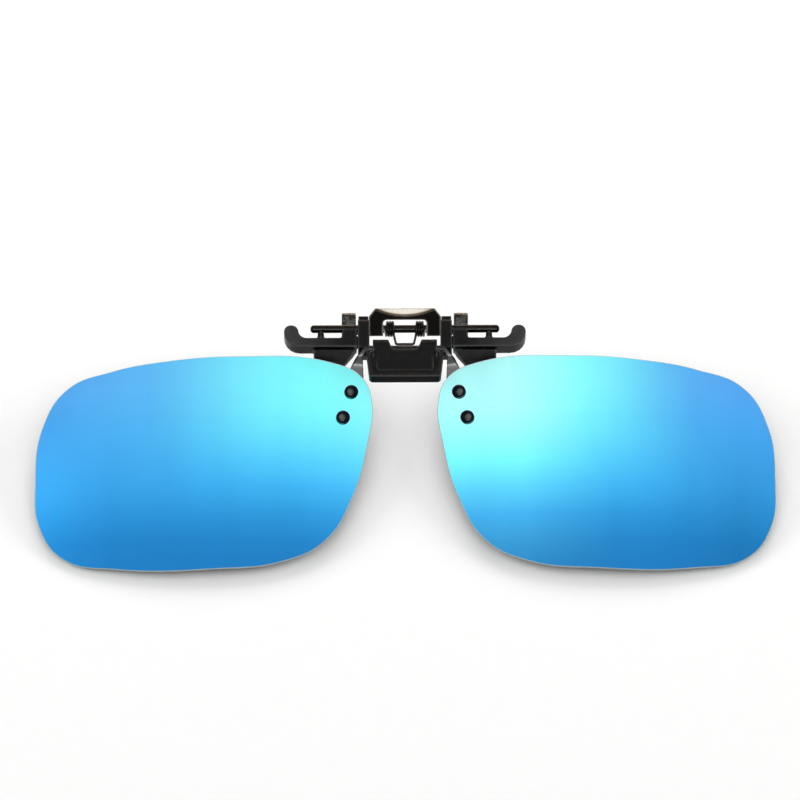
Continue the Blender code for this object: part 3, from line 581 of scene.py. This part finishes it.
def inset(points, distance):
    """A closed outline moved inwards, square to its own run."""
    turn = sum(a.x * b.y - b.x * a.y for a, b in zip(points, points[1:] + points[:1]))
    side = 1.0 if turn > 0 else -1.0
    moved = []
    for i, point in enumerate(points):
        run = (points[(i + 1) % len(points)] - points[i - 1]).normalized()
        moved.append(point + Vector((-run.y, run.x)) * distance * side)
    return moved


def inside(point, ring):
    hit = False
    for a, b in zip(ring, ring[1:] + ring[:1]):
        if (a.y > point.y) != (b.y > point.y) and point.x < (b.x - a.x) * (point.y - a.y) / (b.y - a.y) + a.x:
            hit = not hit
    return hit


def circle(x, y, radius, steps=32):
    return [Vector((x + radius * math.cos(a), y + radius * math.sin(a)))
            for a in (2 * math.pi * k / steps for k in range(steps))]


def sheet_mesh(outline, holes, spacing, front, thickness, bevel, matrix, side):
    """A curved sheet with an outline, holes and rounded edges, in materials 0 front, 1 back and 2 edge.

    front(x, s) is the height of the front face, and the sheet's thickness runs square to that face."""

    def frame_at(point):
        step = 0.01
        slope_x = (front(point.x + step, point.y) - front(point.x - step, point.y)) / (2 * step)
        slope_s = (front(point.x, point.y + step) - front(point.x, point.y - step)) / (2 * step)
        up = Vector((-slope_x, -slope_s, 1.0)).normalized()
        return Vector((point.x, point.y, front(point.x, point.y))), up

    def place(at):
        return matrix @ Vector((at.x * side, -at.y, at.z))

    rings = [outline, *holes]
    flat = [inset(outline, bevel)] + [inset(ring, -bevel) for ring in holes]
    points, edges = [], []
    for ring in flat:
        start = len(points)
        points += ring
        edges += [(start + k, start + (k + 1) % len(ring)) for k in range(len(ring))]
    low_x, high_x = min(p.x for p in outline), max(p.x for p in outline)
    low_y, high_y = min(p.y for p in outline), max(p.y for p in outline)
    margin = bevel + EDGE_CLEARANCE * spacing
    keep_in = inset(outline, margin)
    keep_out = [inset(ring, -margin) for ring in holes]
    for i in range(int((high_x - low_x) / spacing) + 1):
        for j in range(int((high_y - low_y) / spacing) + 1):
            point = Vector((low_x + (i + 0.5 * (j % 2)) * spacing, low_y + j * spacing))
            if inside(point, keep_in) and not any(inside(point, ring) for ring in keep_out):
                points.append(point)
    verts, _, faces, *_ = delaunay_2d_cdt(points, edges, [], 0, 1e-6)

    def on_sheet(face):
        middle = sum((verts[k] for k in face), Vector((0.0, 0.0))) / len(face)
        return inside(middle, flat[0]) and not any(inside(middle, ring) for ring in flat[1:])

    faces = [face for face in faces if on_sheet(face)]

    shape = bmesh.new()
    normals = []

    def add(at, normal):
        normals.append((matrix.to_3x3() @ Vector((normal.x * side, -normal.y, normal.z))).normalized())
        return shape.verts.new(place(at))

    front_verts, back_verts = [], []
    for vert in verts:
        at, up = frame_at(vert)
        front_verts.append(add(at, up))
    for vert in verts:
        at, up = frame_at(vert)
        back_verts.append(add(at - up * thickness, -up))
    for face in faces:
        order = face if side > 0 else face[::-1]
        upper = [front_verts[k] for k in order[::-1]]
        lower = [back_verts[k] for k in order]
        for material, ring in ((0, upper), (1, lower)):
            made = shape.faces.new(ring)
            made.material_index = material
    start = 0
    for ring, flat_ring in zip(rings, flat):
        count = len(ring)
        walls = [front_verts[start:start + count]]
        for degrees in WALL_TURNS:
            turn = math.radians(degrees)
            row = []
            for edge, inner in zip(ring, flat_ring):
                at, up = frame_at(edge)
                out = (edge - inner).normalized().to_3d()
                depth = bevel * (1 - math.cos(turn)) + (thickness - 2 * bevel if degrees > 90 else 0.0)
                at = at + out * (bevel * (math.sin(turn) - 1)) - up * depth
                row.append(add(at, out * math.sin(turn) + up * math.cos(turn)))
            walls.append(row)
        walls.append(back_verts[start:start + count])
        for upper, lower in zip(walls, walls[1:]):
            for k in range(count):
                nxt = (k + 1) % count
                made = shape.faces.new((upper[k], upper[nxt], lower[nxt], lower[k]))
                made.material_index = 2
        start += count
    bmesh.ops.recalc_face_normals(shape, faces=shape.faces)
    shape.verts.index_update()
    mesh = mesh_from(shape)
    mesh.shade_smooth()
    mesh.normals_split_custom_set_from_vertices(normals)
    return mesh


def lathe(profile, matrix, sides=48):
    """A closed solid turned about Z from (radius, height) points, from one end of the axis to the other."""
    shape = bmesh.new()
    rings = []
    for radius, height in profile:
        if radius < 1e-6:
            rings.append([shape.verts.new((0.0, 0.0, height))])
        else:
            rings.append([shape.verts.new((radius * math.cos(a), radius * math.sin(a), height))
                          for a in (2 * math.pi * k / sides for k in range(sides))])
    closed = profile[0][0] > 1e-6
    pairs = list(zip(rings, rings[1:] + ([rings[0]] if closed else [])))
    for upper, lower in pairs:
        for k in range(sides):
            nxt = (k + 1) % sides
            corners = [upper[k % len(upper)], lower[k % len(lower)]]
            corners += [lower[nxt % len(lower)]] if len(lower) > 1 else []
            corners += [upper[nxt % len(upper)]] if len(upper) > 1 else []
            shape.faces.new(corners)
    bmesh.ops.transform(shape, matrix=matrix, verts=shape.verts)
    bmesh.ops.recalc_face_normals(shape, faces=shape.faces)
    return mesh_from(shape)


def tube(points, radius, sides):
    """A round wire along points, with domed ends."""
    path = [Vector(p) for p in points]
    ends = zip([path[0], *path[:-1]], [*path[1:], path[-1]])
    tangents = [(after - before).normalized() for before, after in ends]
    across = tangents[0].orthogonal().normalized()
    stations = [(path[0] - tangents[0] * radius * math.cos(a), tangents[0], radius * math.sin(a))
                for a in (math.pi / 2 * k / 5 for k in range(1, 5))]
    stations += [(p, t, radius) for p, t in zip(path, tangents)]
    stations += [(path[-1] + tangents[-1] * radius * math.cos(a), tangents[-1], radius * math.sin(a))
                 for a in (math.pi / 2 * k / 5 for k in range(4, 0, -1))]
    shape = bmesh.new()
    rows = []
    for at, along, size in stations:
        across = (across - along * across.dot(along)).normalized()
        other = along.cross(across)
        rows.append([shape.verts.new(at + (across * math.cos(a) + other * math.sin(a)) * size)
                     for a in (2 * math.pi * k / sides for k in range(sides))])
    for first, second in zip(rows, rows[1:]):
        for k in range(sides):
            nxt = (k + 1) % sides
            shape.faces.new((first[k], first[nxt], second[nxt], second[k]))
    for row, along in ((rows[0], -tangents[0]), (rows[-1], tangents[-1])):
        tip = sum((v.co for v in row), Vector()) / sides + along * (radius * 0.05)
        tip_vert = shape.verts.new(tip)
        for k in range(sides):
            shape.faces.new((row[k], row[(k + 1) % sides], tip_vert))
    bmesh.ops.recalc_face_normals(shape, faces=shape.faces)
    return mesh_from(shape)


def smooth_path(points, steps=8):
    """A Catmull-Rom curve through points."""
    path = [Vector(p) for p in points]
    ends = [path[0] * 2 - path[1], *path, path[-1] * 2 - path[-2]]
    result = []
    for a, b, c, d in zip(ends, ends[1:], ends[2:], ends[3:]):
        for k in range(steps):
            t = k / steps
            result.append(0.5 * ((2 * b) + (c - a) * t + (2 * a - 5 * b + 4 * c - d) * t * t
                                 + (3 * b - a - 3 * c + d) * t ** 3))
    return result + [path[-1]]


def moulded_mesh(node, voxel, smoothing):
    """A CAD node's solid with every edge and inner corner eased, as it leaves a mould or a polishing drum."""
    source = frame["nodes"][node].data.copy()
    source.transform(Matrix.Scale(1.0 / MM, 4))
    shape = bmesh.new()
    shape.from_mesh(source)
    bmesh.ops.remove_doubles(shape, verts=shape.verts, dist=1e-4)
    bpy.data.meshes.remove(source)
    helper = bpy.data.objects.new("helper", mesh_from(shape))
    bpy.context.scene.collection.objects.link(helper)
    remesh = helper.modifiers.new("remesh", "REMESH")
    remesh.mode = "VOXEL"
    remesh.voxel_size = voxel
    smooth = helper.modifiers.new("smooth", "SMOOTH")
    smooth.factor = 0.5
    smooth.iterations = smoothing
    decimate = helper.modifiers.new("decimate", "DECIMATE")
    decimate.ratio = MOULDED_KEEP
    bpy.context.view_layer.update()
    mesh = bpy.data.meshes.new_from_object(helper.evaluated_get(bpy.context.evaluated_depsgraph_get()))
    bpy.data.objects.remove(helper)
    mesh.materials.clear()
    return mesh


# ---------------------------------------------------------------- lens carrier

def lens_front(x, s):
    """Height of the lens's front face in its plane."""
    across = x - LENS_CENTRE[0]
    down = s - LENS_CENTRE[1]
    return LENS_CROWN - (across ** 2 + down ** 2) / (2 * LENS_RADIUS)


def leg_front(x, s):
    """Height of a leg's front face: level at the hinge, then cranked down behind the lens."""
    t = min(max((s - LEG_BEND[0]) / (LEG_BEND[1] - LEG_BEND[0]), 0.0), 1.0)
    blend = t * t * t * (t * (6 * t - 15) + 10)
    return LEG_THICK / 2 + blend * (lens_front(x, s) - LENS_THICK - GAP - LEG_THICK / 2)


def lens_plane():
    return Matrix.Translation(FLIP_AXIS) @ Matrix.Rotation(LENS_TILT, 4, "X")


def rivet_place(side, x, s):
    slope_x = (LENS_CENTRE[0] - x) / LENS_RADIUS
    slope_y = -(LENS_CENTRE[1] - s) / LENS_RADIUS
    normal = Vector((-slope_x * side, -slope_y, 1.0)).normalized()
    spot = Matrix.Translation((x * side, -s, lens_front(x, s)))
    return lens_plane() @ spot @ normal.to_track_quat("Z", "Y").to_matrix().to_4x4()


def make_lens(side, word, mats):
    """Mirrored lens with a smoke back, a frosted edge and two rivet holes."""
    outline = smooth_outline(LENS_OUTLINE)
    holes = [circle(x, s, SHANK_RADIUS + PIN_GAP) for x, s in RIVETS.values()]
    mesh = sheet_mesh(outline, holes, LENS_SPACING, lens_front, LENS_THICK, LENS_BEVEL, lens_plane(), side)
    skins = [mats["coating"], mats["lens_back"], mats["lens_rim"]]
    finish_piece(f"mirror_lens_{word}", mesh, skins, "lens_carrier", [f"lens_{word}"], False)


def make_leg(side, word, mats):
    """The strip from the hinge to behind the lens, and its rounded tongue on the axle."""
    outline = spaced(rounded(LEG_OUTLINE), LEG_SPACING)
    holes = [circle(x, s, SHANK_RADIUS + PIN_GAP, 24) for x, s in RIVETS.values()]
    mesh = sheet_mesh(outline, holes, LEG_SPACING, leg_front, LEG_THICK, LEG_BEVEL, lens_plane(), side)
    skins = [mats["leg"], mats["leg"], mats["leg_edge"]]
    finish_piece(f"stamped_leg_{word}", mesh, skins, "lens_carrier", [f"lens_leg_{word}"],
                 False)
    along_axis = Matrix.Translation(FLIP_AXIS + Vector((TONGUE_X * side, 0.0, 0.0))) @ ACROSS
    tongue = finish_piece(f"leg_tongue_{word}", lathe(TONGUE_PROFILE, along_axis, 32), [mats["leg"]],
                          "lens_carrier", [])
    tongue.data.set_sharp_from_angle(angle=math.radians(CREASES["tongue"]))


def make_fasteners(side, word, mats):
    """Each rivet's lacquered dome, shank and closed tail, and the washer that the tail closes over."""
    leg_back = -(LENS_THICK + GAP + LEG_THICK)
    washer_top = leg_back - PIN_GAP
    tail_top = washer_top - WASHER_THICK - PIN_GAP
    for place, (x, s) in RIVETS.items():
        matrix = rivet_place(side, x, s)
        dome = [(RIVET_HEAD * math.sin(a),
                 PIN_GAP + RIVET_BRIM + (RIVET_DOME - RIVET_BRIM) * math.cos(a) ** DOME_FULLNESS)
                for a in (k * math.pi / 32 for k in range(16))]
        brim = [(RIVET_HEAD, PIN_GAP + RIVET_BRIM), (RIVET_HEAD, PIN_GAP + 0.04),
                (RIVET_HEAD - 0.06, PIN_GAP)]
        shank = [(SHANK_RADIUS, PIN_GAP), (SHANK_RADIUS, tail_top)]
        tail = [(radius, tail_top + rise) for radius, rise in TAIL_PROFILE]
        solid = lathe(dome + brim + shank + tail, matrix)
        rivet = finish_piece(f"domed_rivet_{place}_{word}", solid, [mats["rivet"]], "lens_carrier",
                             [f"rivet_{place}_{word}"])
        rivet.data.set_sharp_from_angle(angle=math.radians(CREASES["rivet"]))
        inner, low = SHANK_RADIUS + PIN_GAP, washer_top - WASHER_THICK
        eased = WASHER_RADIUS - WASHER_EASE
        ring = [(inner, washer_top), (eased, washer_top), (WASHER_RADIUS, washer_top - WASHER_EASE),
                (WASHER_RADIUS, low + WASHER_EASE), (eased, low), (inner, low)]
        washer = finish_piece(f"back_washer_{place}_{word}", lathe(ring, matrix), [mats["nylon"]],
                              "lens_carrier", [f"washer_{place}_{word}"])
        washer.data.set_sharp_from_angle(angle=math.radians(CREASES["washer"]))


# ---------------------------------------------------------------- clip

MOULDED = {
    # node: (piece, material, slot, body, voxel, smoothing)
    "finger_scoop": ("thumb_scoop", "plastic", "black_plastic", "front_jaw", 0.085, 5),
    "front_jaw_bridge": ("jaw_bridge", "plastic", "black_plastic", "front_jaw", 0.085, 5),
    "jaw_arm_right": ("front_arm_right", "arm_plastic", "black_plastic", "front_jaw", 0.085, 6),
    "jaw_arm_left": ("front_arm_left", "arm_plastic", "black_plastic", "front_jaw", 0.085, 6),
    "claw_pad_right": ("grip_pad_right", "rubber", "rubber", "front_jaw", 0.06, 4),
    "claw_pad_left": ("grip_pad_left", "rubber", "rubber", "front_jaw", 0.06, 4),
    "claw_block_right": ("claw_root_right", "claw_block", "gunmetal", "rear_jaw", 0.07, 60),
    "claw_block_left": ("claw_root_left", "claw_block", "gunmetal", "rear_jaw", 0.07, 60),
    "thumb_plate": ("pressed_thumb_plate", "thumb_plate", "gunmetal", "rear_jaw", 0.07, 4),
}


def make_moulded(mats):
    for node, (piece, material, slot, body, voxel, smoothing) in MOULDED.items():
        finish_piece(piece, moulded_mesh(node, voxel, smoothing), [mats[material]], body, [node])


def make_pin(mats):
    """Clamp pin with domed ends."""
    dome = [(PIN_RADIUS * math.sin(a), PIN_HALF - PIN_RADIUS * PIN_DOME * (1 - math.cos(a)))
            for a in (k * math.pi / 20 for k in range(11))]
    profile = dome + [(radius, -height) for radius, height in dome[::-1]]
    pin = lathe(profile, Matrix.Translation(CLAMP_AXIS) @ ACROSS, 40)
    finish_piece("polished_pin", pin, [mats["gunmetal"]], "rear_jaw", ["clamp_pin"])


def spring_route():
    """Leg, coil, loop, coil and leg, from the flip axis."""
    pin_y, pin_z = CLAMP_AXIS.y - FLIP_AXIS.y, CLAMP_AXIS.z - FLIP_AXIS.z
    coil = []
    for k in range(COIL_TURNS * COIL_STEPS + 1):
        angle = COIL_LEAVE - 2 * math.pi * k / COIL_STEPS
        x = COIL_X[0] + (COIL_X[1] - COIL_X[0]) * k / (COIL_TURNS * COIL_STEPS)
        coil.append((x, pin_y + COIL_RADIUS * math.cos(angle), pin_z + COIL_RADIUS * math.sin(angle)))
    rise = smooth_path([*((x, LOOP[0] + y, LOOP[1] + z) for x, y, z in LOOP_RISE), coil[0]], 6)[:-1]
    leg = smooth_path([coil[-1], *SPRING_LEG], 6)[1:]
    half = [tuple(p) for p in rise] + coil + [tuple(p) for p in leg]
    return [(-x, y, z) for x, y, z in half[:0:-1]] + half


def make_spring(mats):
    """One wire for coils, loop and legs, on no body; in the real clip the coils and legs stay with the pin
    and thumb plate, the loop with the scoop, and the wire bends between.
    """
    points = [FLIP_AXIS + Vector(p) for p in spring_route()]
    spring = finish_piece("double_spring", tube(points, SPRING_WIRE, 14), [mats["steel"]], None,
                          ["torsion_spring"])
    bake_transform(spring)


def make_claws(side, word, mats):
    """Each rear claw's wire, from the ear down behind the front claw, and its sleeve."""
    route = [Vector((x * side, FLIP_AXIS.y + y, z)) for x, y, z in CLAW_ROUTE]
    wire = tube(smooth_path(route), CLAW_WIRE, 24)
    finish_piece(f"claw_wire_{word}", wire, [mats["steel"]], "rear_jaw",
                 [f"rear_claw_{word}"])
    moulded = moulded_mesh(f"claw_sleeve_{word}", 0.07, 8)
    finish_piece(f"soft_sleeve_{word}", moulded, [mats["rubber"]], "rear_jaw",
                 [f"claw_sleeve_{word}"])


def dress_hidden_nodes(mats):
    """The axle and its bushes keep their CAD shape, shaded round."""
    bushes = [(f"friction_bush_{word}", "nylon") for word in ("left", "right")]
    for node, material in [("flip_axle", "steel"), *bushes]:
        mesh = frame["nodes"][node].data
        mesh.materials.clear()
        mesh.materials.append(mats[material])
        mesh.shade_smooth()
        mesh.set_sharp_from_angle(angle=math.radians(CREASES["hinge"]))


# ---------------------------------------------------------------- studio

VIEW_ELEVATION = math.radians(65.0)
VIEW_DISTANCE = 2.0
VIEW_WIDTH = 144.3               # what the frame takes in, at the object
VIEW_CENTRE = (-0.92, -9.22)     # middle of the frame from the flip axis, across and up the picture
VIEW_ROLL = math.radians(-0.18)
VIEW_SENSOR = 36.0
FLOOR_SIZE = 3.0

SOFTBOX_CENTRE = math.radians(-6.0)      # the sky's bright patch, from the vertical towards +Y
SOFTBOX_HALF = (math.radians(31.0), math.radians(22.5))
SOFTBOX_EDGE = 1.55                      # where the patch has faded out, in half-widths
SOFTBOX_STRENGTH = 1.06
ROOM_STRENGTH = 0.22
# name: azimuth and elevation of the light in degrees, size in metres, power, colour, what it lights
LIGHTS = {
    "key": ((0.0, 33.0), (0.80, 0.50), 5.5, (1.0, 1.0, 1.0), "diffuse"),
    "left": ((-80.0, 25.0), (0.80, 0.40), 4.0, (1.0, 1.0, 1.0), "diffuse"),
    "right": ((80.0, 25.0), (0.80, 0.40), 4.0, (1.0, 1.0, 1.0), "diffuse"),
    "overhead": ((0.0, 88.0), (1.40, 1.40), 1.5, (1.0, 1.0, 1.0), "diffuse"),
    "front_strip": ((180.0, 56.0), (0.80, 0.24), 3.4, (1.0, 1.0, 1.0), "glossy"),
    "back_strip": ((0.0, 13.0), (0.90, 0.22), 3.6, (1.0, 0.66, 0.40), "glossy"),
}


def make_camera():
    back = Vector((0.0, -math.cos(VIEW_ELEVATION), math.sin(VIEW_ELEVATION)))
    up = Vector((0.0, math.sin(VIEW_ELEVATION), math.cos(VIEW_ELEVATION)))
    target = (FLIP_AXIS + Vector((VIEW_CENTRE[0], 0.0, 0.0)) + up * VIEW_CENTRE[1]) * MM
    data = bpy.data.cameras.new("camera")
    data.sensor_width = VIEW_SENSOR
    data.lens = data.sensor_width * VIEW_DISTANCE / (VIEW_WIDTH * MM)
    data.clip_start = 0.1
    data.clip_end = 20.0
    camera = bpy.data.objects.new("camera", data)
    bpy.context.scene.collection.objects.link(camera)
    turn = back.to_track_quat("Z", "Y").to_matrix().to_4x4() @ Matrix.Rotation(VIEW_ROLL, 4, "Z")
    camera.matrix_world = Matrix.Translation(target + back * VIEW_DISTANCE) @ turn
    bpy.context.scene.camera = camera


def floor_material():
    shader = Shader("white_sweep", roughness=0.6, Specular_IOR_Level=0.2)
    shader.feed("Base Color", shader.mix(shader.noise(3.0, 3.0), (0.90, 0.90, 0.895), (0.925, 0.925, 0.92)))
    return shader.material


def make_floor():
    shape = bmesh.new()
    bmesh.ops.create_grid(shape, x_segments=8, y_segments=8, size=FLOOR_SIZE)
    floor = bpy.data.objects.new("floor", mesh_from(shape))
    floor.data.materials.append(floor_material())
    bpy.context.scene.collection.objects.link(floor)


def make_world():
    """A soft patch of light over the object, in a dim room."""
    world = bpy.data.worlds.new("studio")
    bpy.context.scene.world = world
    world.use_nodes = True
    tree = world.node_tree

    def math_node(operation, *values):
        made = tree.nodes.new("ShaderNodeMath")
        made.operation = operation
        for socket, value in zip(made.inputs, values):
            if isinstance(value, bpy.types.NodeSocket):
                tree.links.new(value, socket)
            else:
                socket.default_value = value
        return made.outputs[0]

    place = tree.nodes.new("ShaderNodeSeparateXYZ")
    tree.links.new(tree.nodes.new("ShaderNodeTexCoord").outputs["Generated"], place.inputs[0])
    across = math_node("ARCTAN2", place.outputs["X"], place.outputs["Z"])
    along = math_node("ADD", math_node("ARCTAN2", place.outputs["Y"], place.outputs["Z"]), -SOFTBOX_CENTRE)
    reach = math_node("SQRT", math_node("ADD",
                      math_node("POWER", math_node("DIVIDE", across, SOFTBOX_HALF[0]), 2.0),
                      math_node("POWER", math_node("DIVIDE", along, SOFTBOX_HALF[1]), 2.0)))
    fade = tree.nodes.new("ShaderNodeMapRange")
    fade.interpolation_type = "SMOOTHSTEP"
    tree.links.new(reach, fade.inputs["Value"])
    for key, value in (("From Min", 1.0), ("From Max", SOFTBOX_EDGE), ("To Min", SOFTBOX_STRENGTH),
                       ("To Max", ROOM_STRENGTH)):
        fade.inputs[key].default_value = value
    background = tree.nodes["Background"]
    background.inputs["Color"].default_value = (1.0, 1.0, 1.0, 1.0)
    tree.links.new(fade.outputs[0], background.inputs["Strength"])


def make_lights():
    for name, ((azimuth, elevation), size, power, colour, use) in LIGHTS.items():
        data = bpy.data.lights.new(name, "AREA")
        data.shape = "RECTANGLE"
        data.size, data.size_y = size
        data.energy = power
        data.color = colour
        light = bpy.data.objects.new(name, data)
        light.visible_camera = False
        light.visible_glossy = use == "glossy"
        light.visible_diffuse = use == "diffuse"
        turn, rise = math.radians(azimuth), math.radians(elevation)
        place = Vector((math.sin(turn) * math.cos(rise), math.cos(turn) * math.cos(rise), math.sin(rise)))
        light.location = place
        light.rotation_euler = place.to_track_quat("Z", "Y").to_euler()
        bpy.context.scene.collection.objects.link(light)
    bpy.context.scene.view_settings.view_transform = "Standard"


# ---------------------------------------------------------------- assembly

def limit_shadows():
    """Only the lenses cast shadows or shade other pieces, and the scoop stays out of reflections."""
    for obj in bpy.context.scene.objects:
        if obj.type == "MESH" and obj.name != "floor" and "mirror_lens" not in obj.name:
            obj.visible_shadow = False
            obj.visible_diffuse = False
    bpy.data.objects["thumb_scoop"].visible_glossy = False


def build():
    mats = make_materials()
    make_camera()
    make_floor()
    make_world()
    make_lights()
    for side, word in SIDES:
        make_lens(side, word, mats)
        make_leg(side, word, mats)
        make_fasteners(side, word, mats)
        make_claws(side, word, mats)
    make_moulded(mats)
    make_pin(mats)
    make_spring(mats)
    dress_hidden_nodes(mats)
    limit_shadows()


build()
